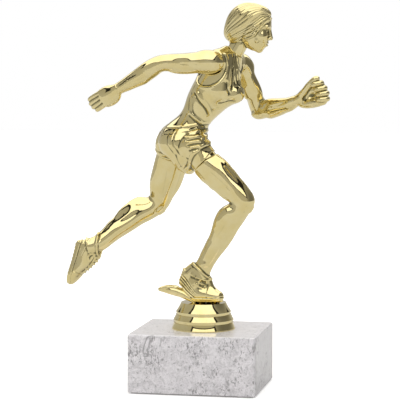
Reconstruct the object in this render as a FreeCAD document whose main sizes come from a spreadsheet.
"""Runner trophy: a gold plastic figure on a round stepped foot, bolted to a marble block.

Frame: millimetres, +Z up, the runner heads along +X, origin on the table under the stud.
"""
import FreeCAD, Part
import Sketcher
import math
import os

from FreeCAD import Rotation, Vector

doc = FreeCAD.newDocument("runner_trophy")

# ---------------------------------------------------------------- driving dimensions

SIZES = {
    # marble block and the felt under it
    "block_length": 63.5,
    "block_depth": 55.0,
    "block_height": 28.5,
    "block_shift": 1.0,
    "arris_radius": 0.9,
    "corner_radius": 1.6,
    "hole_clearance": 0.5,
    "recess_diameter": 20.0,
    "recess_depth": 13.0,
    "felt_thickness": 0.8,
    "felt_inset": 1.5,
    # bolted joint
    "stud_diameter": 6.0,
    "stud_chamfer": 0.7,
    "stud_past_nut": 2.0,
    "thread_clearance": 0.05,
    "washer_diameter": 16.0,
    "washer_thickness": 1.6,
    "washer_clearance": 0.2,
    "spring_washer_diameter": 11.0,
    "spring_washer_thickness": 1.5,
    "spring_washer_gap": 1.2,
    "nut_across_flats": 10.0,
    "nut_thickness": 5.0,
    "insert_diameter": 9.0,
    "insert_length": 8.0,
    "insert_groove": 0.5,
    # round stepped foot under the runner
    "foot_top_radius": 11.2,
    "step1_height": 4.9,
    "step1_radius": 13.7,
    "step1_cove": 20.0,
    "step2_top_radius": 13.8,
    "step2_height": 3.0,
    "step2_radius": 15.0,
    "step2_cove": 14.0,
    "step3_top_radius": 14.9,
    "step3_height": 3.3,
    "step3_radius": 15.8,
    "step3_cove": 14.0,
    "step_lip": 0.5,
    "groove_height": 1.0,
    "groove_depth": 0.5,
    "foot_wall": 1.8,
    "foot_deck": 2.2,
    "boss_radius": 7.4,
    "rib_thickness": 1.4,
    "tongue_length": 20.5,
    "tongue_width": 7.0,
    "tongue_thickness": 4.6,
    "tongue_rise": 45.0,
    # pegs that join the mouldings
    "peg_clearance": 0.1,
    "peg_end_gap": 0.4,
    "sole_peg_radius": 1.3,
    "sole_peg_length": 3.0,
    "sole_peg_anchor": 4.0,
    "sole_peg_spacing": 6.0,
    "hip_peg_radius": 2.4,
    "hip_peg_length": 6.0,
    "shoulder_peg_radius": 1.8,
    "shoulder_peg_length": 5.0,
    "shoulder_inset": 4.4,
    "shoulder_flat_clearance": 0.6,
    "shoulder_flat_depth": 12.0,
    "neck_peg_radius": 1.9,
    "neck_peg_length": 4.5,
    # bone lengths
    "thigh_length": 37.6,
    "shin_length": 37.6,
    "upper_arm_length": 25.0,
    "forearm_length": 24.0,
    "hip_spacing": 16.6,
    "lower_spine_length": 10.7,
    "upper_spine_length": 19.8,
    "neck_root_length": 19.5,
    "neck_length": 6.4,
    "head_height": 23.0,
    "shoulder_spacing": 26.4,
    "shoe_length": 24.6,
    # half-widths of the body
    "thigh_half": 7.4,
    "knee_half": 5.9,
    "calf_half": 5.9,
    "ankle_half": 3.9,
    "shoe_half": 4.2,
    "shoulder_half": 5.4,
    "upper_arm_half": 4.7,
    "elbow_half": 4.2,
    "forearm_half": 4.3,
    "wrist_half": 2.9,
    "palm_half": 4.2,
    "hip_half": 12.2,
    "waist_half": 8.9,
    "chest_half": 11.0,
    "neck_half": 4.1,
    "head_half": 8.3,
    "shorts_thickness": 0.5,
    "hem_distance": 11.0,
}

sheet = doc.addObject("Spreadsheet::Sheet", "sizes")
for row, (alias, number) in enumerate(SIZES.items(), start=1):
    sheet.set("A%d" % row, alias)
    sheet.set("B%d" % row, str(number))
    sheet.setAlias("B%d" % row, alias)
doc.recompute()


def size(alias):
    """A driving dimension, read back from the sheet."""
    return float(sheet.get(alias))


# Each stack height is written once, as a sheet expression and as a number.
BLOCK_BOTTOM = "sizes.felt_thickness"
BLOCK_TOP = "(sizes.felt_thickness + sizes.block_height)"
RECESS_TOP = "(sizes.felt_thickness + sizes.recess_depth)"
WASHER_BOTTOM = "(%s - sizes.washer_thickness)" % RECESS_TOP
SPRING_BOTTOM = "(%s - sizes.spring_washer_thickness)" % WASHER_BOTTOM
NUT_BOTTOM = "(%s - sizes.nut_thickness)" % SPRING_BOTTOM
STUD_BOTTOM = "(%s - sizes.stud_past_nut)" % NUT_BOTTOM
STEP2_BOTTOM = "(sizes.step3_height + sizes.groove_height)"
STEP1_BOTTOM = "(%s + sizes.step2_height + sizes.groove_height)" % STEP2_BOTTOM
FOOT_HEIGHT = "(%s + sizes.step1_height)" % STEP1_BOTTOM
BORE = "(sizes.stud_diameter / 2 + sizes.thread_clearance)"

block_top = size("felt_thickness") + size("block_height")
foot_height = (size("step1_height") + size("step2_height") + size("step3_height")
               + 2 * size("groove_height"))
foot_top = block_top + foot_height

pieces = []


def keep(item, label):
    """Name a finished piece."""
    item.Label = label
    pieces.append(item)
    return item


def bind(item, **links):
    for field, formula in links.items():
        item.setExpression(field.replace("__", "."), str(formula))


# ---------------------------------------------------------------- sketch helpers

def plane_of(body, role):
    for item in body.Origin.OriginFeatures:
        if item.Role == role:
            return item
    raise ValueError(role)


def sketch_on(body, name, role, lift=None):
    sketch = body.newObject("Sketcher::SketchObject", name)
    sketch.AttachmentSupport = [(plane_of(body, role), "")]
    sketch.MapMode = "FlatFace"
    if lift is not None:
        sketch.setExpression("AttachmentOffset.Base.z", lift)
    return sketch


def pin_point(sketch, edge, end, across, along):
    """Hold one end of an edge at two sheet formulas, measured from the sketch's origin."""
    for kind, formula in (("DistanceX", across), ("DistanceY", along)):
        index = sketch.addConstraint(Sketcher.Constraint(kind, -1, 1, edge, end, 1.0))
        sketch.setDatum(index, FreeCAD.Units.Quantity("%f mm" % number_of(formula)))
        sketch.setExpression("Constraints[%d]" % index, formula)


def number_of(formula):
    """The value of a sheet formula now."""
    item = doc.getObject("evaluator")
    return float(item.evalExpression(formula.replace("sizes.", "<<sizes>>.")))


doc.addObject("App::FeaturePython", "evaluator")
sheet.Label = "sizes"


def closed_outline(sketch, corners, coves=None):
    """Join sheet-formula corners by lines, or by a hollow arc where coves names a radius.

    The corner list runs round the outline; coves maps the index of an edge to its radius.
    """
    coves = coves or {}
    spots = [Vector(number_of(a), number_of(b), 0) for a, b in corners]
    for i, start in enumerate(spots):
        end = spots[(i + 1) % len(spots)]
        if i in coves:
            radius = number_of(coves[i])
            chord = end - start
            outward = Vector(-chord.y, chord.x, 0).normalize()
            reach = math.sqrt(max(radius ** 2 - (chord.Length / 2) ** 2, 0.0))
            centre = start + chord * 0.5 + outward * reach
            first = math.atan2(start.y - centre.y, start.x - centre.x)
            last = math.atan2(end.y - centre.y, end.x - centre.x)
            circle = Part.Circle(centre, Vector(0, 0, 1), radius)
            sketch.addGeometry(Part.ArcOfCircle(circle, first, last), False)
        else:
            sketch.addGeometry(Part.LineSegment(start, end), False)
    for i in range(len(spots)):
        sketch.addConstraint(Sketcher.Constraint("Coincident", i, 2, (i + 1) % len(spots), 1))
    for i, (across, along) in enumerate(corners):
        pin_point(sketch, i, 1, across, along)
    for i, formula in coves.items():
        index = sketch.addConstraint(Sketcher.Constraint("Radius", i, number_of(formula)))
        sketch.setExpression("Constraints[%d]" % index, formula)


def ring_sketch(sketch, radius):
    circle = Part.Circle(Vector(0, 0, 0), Vector(0, 0, 1), number_of(radius))
    sketch.addGeometry(circle, False)
    sketch.addConstraint(Sketcher.Constraint("Coincident", 0, 3, -1, 1))
    index = sketch.addConstraint(Sketcher.Constraint("Radius", 0, number_of(radius)))
    sketch.setExpression("Constraints[%d]" % index, radius)


def volume_falls(body, feature, before):
    doc.recompute()
    if not body.Shape.Volume < before - 1e-6:
        raise RuntimeError(feature.Name + " cuts nothing")


# ---------------------------------------------------------------- marble block

def slab(name, inset, height, rounds):
    """A block on the trophy's outline, drawn in by an inset, with some of its edges rounded."""
    body = doc.addObject("PartDesign::Body", name)
    outline = sketch_on(body, name + "_outline", "XY_Plane")
    left = "%s - sizes.block_length / 2 - sizes.block_shift" % inset
    right = "sizes.block_length / 2 - sizes.block_shift - %s" % inset
    front = "%s - sizes.block_depth / 2" % inset
    back = "sizes.block_depth / 2 - %s" % inset
    closed_outline(outline, [(left, front), (right, front), (right, back), (left, back)])
    pad = body.newObject("PartDesign::Pad", name + "_pad")
    pad.Profile = outline
    pad.setExpression("Length", height)
    doc.recompute()
    tall = number_of(height)
    for role, radius in rounds:
        below = body.Tip
        chosen = []
        for i, edge in enumerate(below.Shape.Edges, start=1):
            ends = [v.Point.z for v in edge.Vertexes]
            upright = abs(ends[0] - ends[-1]) > tall / 2
            at_top = min(ends) > tall - 1e-6
            if (role == "upright" and upright) or (role == "top" and at_top):
                chosen.append("Edge%d" % i)
        rounding = body.newObject("PartDesign::Fillet", "%s_%s_rounds" % (name, role))
        rounding.Base = (below, chosen)
        rounding.setExpression("Radius", radius)
        doc.recompute()
    return body


def marble_block():
    body = slab("marble_block", "0", "sizes.block_height",
                (("upright", "sizes.corner_radius"), ("top", "sizes.arris_radius")))
    for name, radius, depth in (("stud_hole", "sizes.stud_diameter / 2 + sizes.hole_clearance",
                                 "sizes.block_height"),
                                ("nut_recess", "sizes.recess_diameter / 2", "sizes.recess_depth")):
        before = body.Shape.Volume
        circle = sketch_on(body, name + "_circle", "XY_Plane")
        ring_sketch(circle, radius)
        cut = body.newObject("PartDesign::Pocket", name)
        cut.Profile = circle
        cut.Reversed = True
        cut.setExpression("Length", depth)
        volume_falls(body, cut, before)
    body.setExpression("Placement.Base.z", BLOCK_BOTTOM)
    return keep(body, "marble_block")


def felt_sheet():
    return keep(slab("felt_sheet", "sizes.felt_inset", "sizes.felt_thickness",
                     (("upright", "sizes.corner_radius"),)), "felt_sheet")


# ---------------------------------------------------------------- bolted joint

def turned_body(name, corners, bottom, coves=None):
    """A piece turned about the stud's axis from a half section."""
    body = doc.addObject("PartDesign::Body", name)
    section = sketch_on(body, name + "_section", "XZ_Plane")
    closed_outline(section, corners, coves)
    turn = body.newObject("PartDesign::Revolution", name + "_turn")
    turn.Profile = section
    turn.ReferenceAxis = (section, ["V_Axis"])
    turn.Angle = 360.0
    doc.recompute()
    body.setExpression("Placement.Base.z", bottom)
    return body


def threaded_stud():
    length = "(%s + %s - %s)" % (BLOCK_TOP, "sizes.insert_length", STUD_BOTTOM)
    radius = "sizes.stud_diameter / 2"
    tip = "(sizes.stud_diameter / 2 - sizes.stud_chamfer)"
    return keep(turned_body("threaded_stud", [
        ("0", "0"),
        (tip, "0"),
        (radius, "sizes.stud_chamfer"),
        (radius, length + " - sizes.stud_chamfer"),
        (tip, length),
        ("0", length),
    ], STUD_BOTTOM), "threaded_stud")


def flat_washer():
    inner = "(sizes.stud_diameter / 2 + sizes.washer_clearance)"
    outer = "sizes.washer_diameter / 2"
    return keep(turned_body("flat_washer", [
        (inner, "0"),
        (outer, "0"),
        (outer, "sizes.washer_thickness"),
        (inner, "sizes.washer_thickness"),
    ], WASHER_BOTTOM), "flat_washer")


def spring_washer():
    inner = "(sizes.stud_diameter / 2 + sizes.washer_clearance)"
    outer = "sizes.spring_washer_diameter / 2"
    ring = turned_body("spring_washer_ring", [
        (inner, "0"),
        (outer, "0"),
        (outer, "sizes.spring_washer_thickness"),
        (inner, "sizes.spring_washer_thickness"),
    ], SPRING_BOTTOM)
    slot = doc.addObject("Part::Box", "spring_washer_slot")
    bind(slot, Length="sizes.spring_washer_diameter", Width="sizes.spring_washer_gap",
         Height="sizes.spring_washer_thickness", Placement__Base__z=SPRING_BOTTOM,
         Placement__Base__y="-sizes.spring_washer_gap / 2")
    split = doc.addObject("Part::Cut", "spring_washer")
    split.Base = ring
    split.Tool = slot
    return keep(split, "spring_washer")


def hex_nut():
    prism = doc.addObject("Part::Prism", "nut_prism")
    prism.Polygon = 6
    bind(prism, Circumradius="sizes.nut_across_flats / sqrt(3)", Height="sizes.nut_thickness",
         Placement__Base__z=NUT_BOTTOM)
    bore = doc.addObject("Part::Cylinder", "nut_bore")
    bind(bore, Radius=BORE, Height="sizes.nut_thickness", Placement__Base__z=NUT_BOTTOM)
    nut = doc.addObject("Part::Cut", "hex_nut")
    nut.Base = prism
    nut.Tool = bore
    return keep(nut, "hex_nut")


def threaded_insert():
    """Brass bush moulded into the foot, waisted so that it can't pull out."""
    outer = "sizes.insert_diameter / 2"
    waist = "(sizes.insert_diameter / 2 - sizes.insert_groove)"
    third = "sizes.insert_length / 3"
    return keep(turned_body("threaded_insert", [
        (BORE, "0"),
        (outer, "0"),
        (outer, third),
        (waist, third),
        (waist, "2 * " + third),
        (outer, "2 * " + third),
        (outer, "sizes.insert_length"),
        (BORE, "sizes.insert_length"),
    ], BLOCK_TOP), "threaded_insert")


# ---------------------------------------------------------------- round stepped foot

def stepped_foot(insert):
    neck1 = "sizes.step1_radius - sizes.groove_depth"
    neck2 = "sizes.step2_radius - sizes.groove_depth"
    body = turned_body("foot_shell", [
        ("0", FOOT_HEIGHT),
        ("sizes.foot_top_radius", FOOT_HEIGHT),
        ("sizes.step1_radius", STEP1_BOTTOM + " + sizes.step_lip"),
        ("sizes.step1_radius", STEP1_BOTTOM),
        (neck1, STEP1_BOTTOM),
        (neck1, STEP1_BOTTOM + " - sizes.groove_height"),
        ("sizes.step2_top_radius", STEP1_BOTTOM + " - sizes.groove_height"),
        ("sizes.step2_radius", STEP2_BOTTOM + " + sizes.step_lip"),
        ("sizes.step2_radius", STEP2_BOTTOM),
        (neck2, STEP2_BOTTOM),
        (neck2, "sizes.step3_height"),
        ("sizes.step3_top_radius", "sizes.step3_height"),
        ("sizes.step3_radius", "sizes.step_lip"),
        ("sizes.step3_radius", "0"),
        ("0", "0"),
    ], BLOCK_TOP, {1: "sizes.step1_cove", 6: "sizes.step2_cove", 11: "sizes.step3_cove"})
    before = body.Shape.Volume
    hollow = sketch_on(body, "foot_hollow_section", "XZ_Plane")
    ceiling = "(%s - sizes.foot_deck)" % FOOT_HEIGHT
    closed_outline(hollow, [
        ("sizes.boss_radius", "0"),
        ("sizes.step3_top_radius - sizes.foot_wall", "0"),
        ("sizes.foot_top_radius - sizes.foot_wall", ceiling),
        ("sizes.boss_radius", ceiling),
    ])
    groove = body.newObject("PartDesign::Groove", "foot_hollow")
    groove.Profile = hollow
    groove.ReferenceAxis = (hollow, ["V_Axis"])
    groove.Angle = 360.0
    volume_falls(body, groove, before)
    for name, across, along in (("rib_x", "sizes.foot_top_radius", "sizes.rib_thickness / 2"),
                                ("rib_y", "sizes.rib_thickness / 2", "sizes.foot_top_radius")):
        web = sketch_on(body, name + "_outline", "XY_Plane")
        closed_outline(web, [
            ("-" + across, "-" + along),
            (across, "-" + along),
            (across, along),
            ("-" + across, along),
        ])
        rib = body.newObject("PartDesign::Pad", name)
        rib.Profile = web
        rib.setExpression("Length", ceiling)
        doc.recompute()
    drilled = doc.addObject("Part::Cut", "foot_drilled")
    drilled.Base = body
    cutter = doc.addObject("Part::Cylinder", "insert_pocket")
    bind(cutter, Radius="sizes.insert_diameter / 2", Height="sizes.insert_length",
         Placement__Base__z=BLOCK_TOP)
    drilled.Tool = cutter
    collar = doc.addObject("Part::Cut", "insert_waist_fill")
    filler = doc.addObject("Part::Cylinder", "insert_filler")
    bind(filler, Radius="sizes.insert_diameter / 2", Height="sizes.insert_length / 3",
         Placement__Base__z="%s + sizes.insert_length / 3" % BLOCK_TOP)
    core = doc.addObject("Part::Cylinder", "insert_core")
    bind(core, Radius="sizes.insert_diameter / 2 - sizes.insert_groove",
         Height="sizes.insert_length / 3",
         Placement__Base__z="%s + sizes.insert_length / 3" % BLOCK_TOP)
    collar.Base = filler
    collar.Tool = core
    whole = doc.addObject("Part::Fuse", "foot_with_collar")
    whole.Base = drilled
    whole.Tool = collar
    doc.recompute()
    return whole


# ---------------------------------------------------------------- soft-form helpers

RING_POINTS = 16
RING_PARAMETERS = [i / RING_POINTS for i in range(RING_POINTS + 1)]


def heading(pitch, lean):
    """Unit vector: pitch up from +X in the runner's plane, lean towards +Y."""
    p = math.radians(pitch)
    q = math.radians(lean)
    return Vector(math.cos(p) * math.cos(q), math.sin(q), math.sin(p) * math.cos(q))


def oval(centre, along, side, half_side, half_up, half_down=None):
    """Poles of a closed smooth ring square to a limb, with its own depth above and below."""
    half_down = half_up if half_down is None else half_down
    along = Vector(along).normalize()
    side = (side - along * side.dot(along)).normalize()
    up = along.cross(side)
    points = []
    for i in range(RING_POINTS):
        angle = 2 * math.pi * i / RING_POINTS
        depth = half_up if math.sin(angle) > 0 else half_down
        points.append(centre + side * (half_side * math.cos(angle)) + up * (depth * math.sin(angle)))
    curve = Part.BSplineCurve()
    curve.interpolate(Points=points, PeriodicFlag=True, Parameters=RING_PARAMETERS)
    return curve


def skin(rings):
    """A closed solid whose side is one smooth surface through all the rings."""
    middles = []
    for ring in rings:
        poles = ring.getPoles()
        middles.append(sum(poles, Vector()) * (1 / len(poles)))
    places = [0.0]
    for start, end in zip(middles, middles[1:]):
        places.append(places[-1] + math.sqrt((end - start).Length))
    places = [place / places[-1] for place in places]
    columns = []
    for spots in zip(*(ring.getPoles() for ring in rings)):
        column = Part.BSplineCurve()
        column.interpolate(Points=list(spots), Parameters=places)
        columns.append(column)
    round_curve, long_curve = rings[0], columns[0]
    surface = Part.BSplineSurface()
    surface.buildFromPolesMultsKnots(
        [column.getPoles() for column in columns],
        round_curve.getMultiplicities(), long_curve.getMultiplicities(),
        round_curve.getKnots(), long_curve.getKnots(),
        True, False, round_curve.Degree, long_curve.Degree)
    side_face = surface.toShape()
    faces = [side_face]
    for ring in (rings[0], rings[-1]):
        faces.append(Part.Face(Part.Wire([ring.toShape()])))
    shell = Part.makeShell(faces)
    shell.sewShape()
    solid = Part.makeSolid(shell)
    if solid.Volume < 0:
        solid.reverse()
    return solid


def limb(stations, side):
    """Loft through (centre, half side, half up, half down) along a bent path."""
    rings = []
    for i, (centre, half_side, half_up, half_down) in enumerate(stations):
        before = stations[max(i - 1, 0)][0]
        after = stations[min(i + 1, len(stations) - 1)][0]
        into = centre - before if i else after - centre
        out = after - centre if i < len(stations) - 1 else into
        along = Vector(into).normalize() + Vector(out).normalize()
        half_turn = into.getAngle(out) / 2
        stretch = 1 / max(math.cos(half_turn), 0.6)
        rings.append(oval(centre, along, side, half_side, half_up * stretch, half_down * stretch))
    return skin(rings)


def peg(root, direction, radius, length, sink=1.0):
    """A round peg that starts a little inside its own piece."""
    return Part.makeCylinder(radius, length + sink, root - direction * sink, direction)


def socket(mouth, direction, radius, length, overrun=1.0):
    depth = length + size("peg_end_gap") + overrun
    return Part.makeCylinder(radius + size("peg_clearance"), depth, mouth - direction * overrun,
                             direction)


def add_solid(shape, label):
    """Keep one clean solid as a named piece."""
    if len(shape.Solids) != 1:
        raise RuntimeError("%s comes out as %d solids" % (label, len(shape.Solids)))
    item = doc.addObject("Part::Feature", label)
    item.Shape = shape.Solids[0].removeSplitter()
    return keep(item, label)


# ---------------------------------------------------------------- armature

ACROSS = Vector(0, 1, 0)
PELVIS_TURN = 38.0
CHEST_TURN = -26.0

ball = Vector(2.2, -2.6, foot_top)
right_ankle = ball + heading(93.5, 0.0) * 19.0
right_knee = right_ankle + heading(58.6, -6.0) * size("shin_length")
right_hip = right_knee + heading(132.5, 1.0) * size("thigh_length")
hip_line = Rotation(Vector(0, 0, 1), PELVIS_TURN).multVec(heading(90.0, 80.0))
hip_line = Vector(hip_line.x, hip_line.y, 0.22).normalize()
left_hip = right_hip + hip_line * size("hip_spacing")
left_knee = left_hip + heading(-109.5, 14.0) * size("thigh_length")
left_ankle = left_knee + heading(-144.5, -16.0) * size("shin_length")
pelvis = (right_hip + left_hip) * 0.5
waist = pelvis + heading(65.0, 0.0) * size("lower_spine_length")
chest = waist + heading(57.0, 0.0) * size("upper_spine_length")
neck_root = chest + heading(60.0, 2.5) * size("neck_root_length")
pelvis_side = Vector(hip_line.x, hip_line.y, 0).normalize()
chest_side = Rotation(Vector(0, 0, 1), CHEST_TURN).multVec(ACROSS)
shoulder_mid = neck_root + heading(-156.0, 0.0) * 4.2 + Vector(0, 0, -3.0)
right_shoulder = shoulder_mid - chest_side * (size("shoulder_spacing") / 2) + Vector(0, 0, 0.2)
left_shoulder = shoulder_mid + chest_side * (size("shoulder_spacing") / 2) - Vector(1.0, 0, 0.9)
right_elbow = right_shoulder + heading(182.0, -18.5) * size("upper_arm_length")
right_wrist = right_elbow + heading(-149.0, -4.5) * size("forearm_length")
left_elbow = left_shoulder + heading(-68.6, 16.0) * size("upper_arm_length")
left_wrist = left_elbow + heading(13.0, -27.0) * size("forearm_length")
right_thigh_way = (right_knee - right_hip).normalize()
left_thigh_way = (left_knee - left_hip).normalize()
right_hem = right_hip + right_thigh_way * size("hem_distance")
left_hem = left_hip + left_thigh_way * size("hem_distance")


def between(start, end, part):
    return start + (end - start) * part


# ---------------------------------------------------------------- runner's mouldings

def ground_tongue():
    """The leaf of ground that curls up from the foot's top, below the lifted heel."""
    half_wide = size("tongue_width") / 2
    half_thick = size("tongue_thickness") / 2
    shares = ((0.7, 0.3), (0.95, 0.7), (1.0, 1.0), (1.0, 1.0), (0.9, 0.95), (0.6, 0.7), (0.16, 0.2))
    reach = size("tongue_length") / (len(shares) - 1)
    flatten = (size("tongue_rise") + 8.0) / (len(shares) - 1)
    spot = Vector(ball.x - 5.6, ball.y, foot_top - 0.2)
    stations = []
    for i, (wide, thick) in enumerate(shares):
        stations.append((spot, half_wide * wide, half_thick * thick, half_thick * thick))
        spot = spot + heading(180.0 - size("tongue_rise") + flatten * (i + 0.5), 0.0) * reach
    return limb(stations, ACROSS)


def shoe(sole_ball, heel_pitch, toe_pitch):
    """A closed running shoe along its sole, which may bend at the ball of the foot."""
    long = size("shoe_length")
    wide = size("shoe_half")
    bend = 0.42
    table = (
        # share of length, lift of the middle, half width, half height
        (0.00, 6.4, 0.30, 3.2),
        (0.05, 6.8, 0.62, 6.0),
        (0.20, 7.0, 0.82, 7.0),
        (0.46, 5.6, 0.86, 5.6),
        (0.68, 3.9, 1.02, 3.9),
        (0.88, 2.7, 0.84, 2.6),
        (1.00, 2.0, 0.30, 1.0),
    )
    stations = []
    for part, lift, across, high in table:
        pitch = heel_pitch - 180.0 if part < bend else toe_pitch
        spot = sole_ball + heading(pitch, 0.0) * (long * (part - bend))
        spot = spot + heading(pitch + 90.0, 0.0) * lift
        stations.append((spot, wide * across, high, high))
    return limb(stations, ACROSS)


def leg(knee, ankle, hem, way, sock):
    """Bare thigh, knee, calf and ankle from the shorts' hem down into the shoe."""
    thigh = size("thigh_half")
    joint = size("knee_half")
    calf = size("calf_half")
    thin = size("ankle_half")
    stations = [
        (hem, thigh, thigh, thigh),
        (between(hem, knee, 0.35), thigh * 0.94, thigh * 1.02, thigh * 0.98),
        (between(hem, knee, 0.7), joint * 1.04, joint * 1.16, joint * 1.08),
        (knee, joint * 0.96, joint * 0.86, joint * 0.86),
        (between(knee, ankle, 0.24), calf, calf * 0.86, calf * 1.22),
        (between(knee, ankle, 0.45), calf * 0.94, calf * 0.82, calf * 1.1),
        (between(knee, ankle, 0.72), thin * 1.14, thin * 1.14, thin * 1.26),
        (ankle, thin, thin * 1.08, thin * 1.08),
        (sock, thin * 1.1, thin * 1.25, thin * 1.25),
    ]
    shape = limb(stations, ACROSS)
    return shape.fuse(peg(hem, way * -1, size("hip_peg_radius"), size("hip_peg_length")))


def arm_root(joint, outward):
    """The cap of the shoulder, between the chest's flat and the upper arm."""
    inset = size("shoulder_inset")
    return Part.makeCylinder(size("shoulder_half") * 0.96, inset, joint - outward * inset, outward)


def arm(joint, elbow, wrist, hand_stations, outward):
    cap = size("shoulder_half")
    upper = size("upper_arm_half")
    bend = size("elbow_half")
    lower = size("forearm_half")
    thin = size("wrist_half")
    back = (joint - elbow).normalize()
    stations = [
        (joint + back * (cap * 0.86), cap * 0.45, cap * 0.45, cap * 0.45),
        (joint + back * (cap * 0.55), cap * 0.84, cap * 0.84, cap * 0.84),
        (joint, cap, cap, cap),
        (between(joint, elbow, 0.28), cap * 0.95, cap * 0.95, cap * 0.95),
        (between(joint, elbow, 0.62), upper, upper, upper),
        (elbow, bend, bend * 0.92, bend * 0.92),
        (between(elbow, wrist, 0.32), lower, lower, lower),
        (between(elbow, wrist, 0.66), lower * 0.84, lower * 0.82, lower * 0.82),
        (wrist, thin, thin, thin),
    ] + hand_stations
    shape = limb(stations, ACROSS)
    shape = shape.fuse(arm_root(joint, outward))
    return shape


def trunk():
    """Vest and shorts in one moulding, with flats and sockets for the other mouldings."""
    hips = size("hip_half")
    narrow = size("waist_half")
    ribs = size("chest_half")
    table = (
        # middle, side way, half side, half front, half back
        (pelvis + Vector(-1.6, 0, -9.4), pelvis_side, hips * 0.42, 4.6, 5.0),
        (pelvis + Vector(-1.5, 0, -4.6), pelvis_side, hips * 0.93, 9.0, 11.2),
        (pelvis + Vector(0.3, 0, 1.8), pelvis_side, hips, 8.8, 10.6),
        (waist, (pelvis_side + chest_side).normalize(), narrow, 7.3, 7.0),
        (between(waist, chest, 0.5), chest_side, (narrow + ribs) * 0.49, 8.6, 7.8),
        (chest, chest_side, ribs, 11.2, 8.6),
        (between(chest, neck_root, 0.48), chest_side, ribs, 8.6, 7.6),
        (between(chest, neck_root, 0.8), chest_side, ribs * 0.8, 5.8, 6.0),
        (neck_root, chest_side, size("neck_half") * 1.2, 4.6, 4.8),
    )
    rings = []
    for i, (middle, side_way, half_side, front, rear) in enumerate(table):
        lower = table[max(i - 1, 0)][0]
        upper = table[min(i + 1, len(table) - 1)][0]
        rings.append(oval(middle, upper - lower, side_way, half_side, rear, front))
    shape = skin(rings)
    cloth = size("shorts_thickness")
    for hip, hem, way in ((right_hip, right_hem, right_thigh_way),
                          (left_hip, left_hem, left_thigh_way)):
        thick = size("thigh_half") + cloth
        leg_cloth = limb([
            (hip - way * 5.0, thick * 0.5, thick * 0.5, thick * 0.5),
            (hip - way * 2.0, thick * 0.95, thick * 0.95, thick * 0.95),
            (between(hip, hem, 0.5), thick, thick * 1.02, thick * 1.02),
            (hem, thick, thick, thick),
        ], ACROSS)
        shape = shape.fuse(leg_cloth)
    for joint, outward in ((right_shoulder, chest_side * -1), (left_shoulder, chest_side)):
        seat = joint - outward * size("shoulder_inset")
        shape = shape.cut(Part.makeCylinder(
            size("shoulder_half") + size("shoulder_flat_clearance"), size("shoulder_flat_depth"),
            seat, outward))
        shape = shape.cut(socket(seat, outward * -1, size("shoulder_peg_radius"),
                                 size("shoulder_peg_length")))
    for hem, way in ((right_hem, right_thigh_way), (left_hem, left_thigh_way)):
        shape = shape.cut(socket(hem, way * -1, size("hip_peg_radius"), size("hip_peg_length")))
    down = heading(-120.0, 0.0)
    shape = shape.cut(socket(neck_root, down, size("neck_peg_radius"), size("neck_peg_length")))
    return shape


def head():
    """Neck, plain head and the mass of combed hair."""
    up = heading(60.0, 0.0)
    crown_way = heading(84.0, 0.0)
    tall = size("head_height")
    wide = size("head_half")
    neck_top = neck_root + up * size("neck_length")
    neck = limb([
        (neck_root, size("neck_half"), size("neck_half") * 1.05, size("neck_half") * 1.05),
        (neck_top, size("neck_half") * 0.9, size("neck_half"), size("neck_half")),
        (neck_top + up * 4.0, size("neck_half") * 0.8, size("neck_half"), size("neck_half")),
    ], ACROSS)
    base = neck_root + Vector(8.6, 0, 1.0)
    face = (
        # share of height, shift forward, half width, half back, half front
        (0.00, 2.0, 0.22, 1.6, 1.6),
        (0.07, 1.2, 0.50, 4.4, 4.2),
        (0.28, 0.0, 0.74, 7.4, 7.8),
        (0.52, -0.6, 0.86, 9.0, 9.0),
        (0.74, -1.2, 0.90, 9.4, 9.0),
        (0.90, -2.2, 0.70, 7.4, 7.0),
        (0.98, -2.8, 0.28, 3.0, 2.8),
    )
    hair = (
        (0.20, -9.4, 0.40, 2.2, 2.8),
        (0.31, -9.2, 0.78, 5.0, 6.6),
        (0.54, -6.2, 0.96, 8.0, 9.0),
        (0.76, -3.2, 1.00, 9.2, 10.4),
        (0.90, -2.6, 0.82, 7.2, 9.0),
        (0.98, -2.8, 0.48, 4.2, 5.4),
        (1.01, -2.8, 0.14, 1.6, 1.8),
    )
    shape = neck
    for table in (face, hair):
        rings = []
        for part, shift, across, rear, front in table:
            spot = base + crown_way * (tall * part) + Vector(shift, 0, 0)
            rings.append(oval(spot, crown_way, ACROSS, wide * across, rear, front))
        shape = shape.fuse(skin(rings))
    return shape.fuse(peg(neck_root, up * -1, size("neck_peg_radius"), size("neck_peg_length")))


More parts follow.
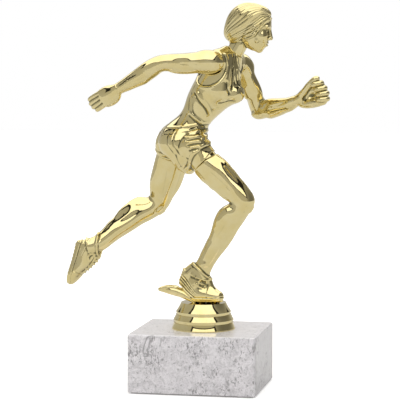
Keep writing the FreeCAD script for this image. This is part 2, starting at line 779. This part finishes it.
def runner(foot):
    body = trunk()
    palm = size("palm_half")
    far_way = heading(-149.0, 7.0)
    open_hand = [
        (right_wrist + far_way * 3.5, palm * 0.62, palm * 0.86, palm * 0.86),
        (right_wrist + far_way * 8.0, palm * 0.7, palm * 1.06, palm * 1.06),
        (right_wrist + far_way * 12.5, palm * 0.62, palm, palm),
        (right_wrist + far_way * 15.6, palm * 0.4, palm * 0.62, palm * 0.62),
        (right_wrist + far_way * 16.8, palm * 0.12, palm * 0.2, palm * 0.2),
    ]
    near_way = heading(25.0, -16.0)
    fist = [
        (left_wrist + near_way * 3.0, palm * 0.72, palm * 0.86, palm * 0.86),
        (left_wrist + near_way * 7.5, palm * 1.0, palm * 1.2, palm * 1.2),
        (left_wrist + near_way * 12.0, palm * 1.04, palm * 1.22, palm * 1.22),
        (left_wrist + near_way * 15.6, palm * 0.72, palm * 0.86, palm * 0.86),
        (left_wrist + near_way * 16.8, palm * 0.3, palm * 0.36, palm * 0.36),
    ]
    arms = {}
    for name, joint, elbow, wrist, hand, outward in (
            ("right_arm", right_shoulder, right_elbow, right_wrist, open_hand, chest_side * -1),
            ("left_arm", left_shoulder, left_elbow, left_wrist, fist, chest_side)):
        shape = arm(joint, elbow, wrist, hand, outward).cut(body.copy())
        root = joint - outward * size("shoulder_inset")
        arms[name] = shape.fuse(peg(root, outward * -1, size("shoulder_peg_radius"),
                                    size("shoulder_peg_length")))

    right_leg = leg(right_knee, right_ankle, right_hem, right_thigh_way,
                    right_ankle + heading(-112.0, 0.0) * 7.0)
    right_leg = right_leg.fuse(shoe(ball + Vector(-6.6, 0, 0.1), 141.0, 1.0))
    left_leg = leg(left_knee, left_ankle, left_hem, left_thigh_way,
                   left_ankle + heading(-165.0, 0.0) * 4.0)
    left_sole_ball = left_ankle + Vector(-12.2, 0, -5.6)
    left_leg = left_leg.fuse(shoe(left_sole_ball, 74.0, -106.0))

    down = Vector(0, 0, -1)
    pin_radius = size("sole_peg_radius")
    pin_length = size("sole_peg_length")
    leaf = ground_tongue()
    ground = foot.Shape.fuse(leaf.copy())
    right_leg = right_leg.cut(ground.copy())
    leaf.translate(down * (size("tongue_thickness") / 2))
    right_leg = right_leg.cut(leaf)
    pin_reach = size("sole_peg_anchor") + pin_length
    for step in (-0.5, 0.5):
        pin_top = ball + Vector(step * size("sole_peg_spacing"), 0, size("sole_peg_anchor"))
        ground = ground.cut(Part.makeCylinder(
            pin_radius + size("peg_clearance"), pin_reach + size("peg_end_gap"), pin_top, down))
        right_leg = right_leg.fuse(Part.makeCylinder(pin_radius, pin_reach, pin_top, down))
    add_solid(ground, "stepped_foot")
    add_solid(body, "trunk")
    add_solid(head().cut(body.copy()), "head")
    add_solid(arms["right_arm"], "right_arm")
    add_solid(arms["left_arm"], "left_arm")
    add_solid(right_leg, "right_leg")
    add_solid(left_leg, "left_leg")


# ---------------------------------------------------------------- build and write

marble_block()
felt_sheet()
threaded_stud()
flat_washer()
spring_washer()
hex_nut()
runner(stepped_foot(threaded_insert()))
doc.recompute()

for item in doc.Objects:
    if "Invalid" in item.State or "Error" in item.State:
        raise RuntimeError("%s failed: %s" % (item.Name, item.State))
for item in pieces:
    if item.Shape.isNull() or not item.Shape.isValid():
        raise RuntimeError("%s has no valid shape" % item.Label)

os.makedirs("parts", exist_ok=True)
for item in pieces:
    item.Shape.exportStep("parts/%s.step" % item.Label)
    box = item.Shape.BoundBox
    print("%-16s solids %d volume %9.1f  x %6.1f..%6.1f  y %6.1f..%6.1f  z %6.1f..%6.1f" % (
        item.Label, len(item.Shape.Solids), item.Shape.Volume,
        box.XMin, box.XMax, box.YMin, box.YMax, box.ZMin, box.ZMax))
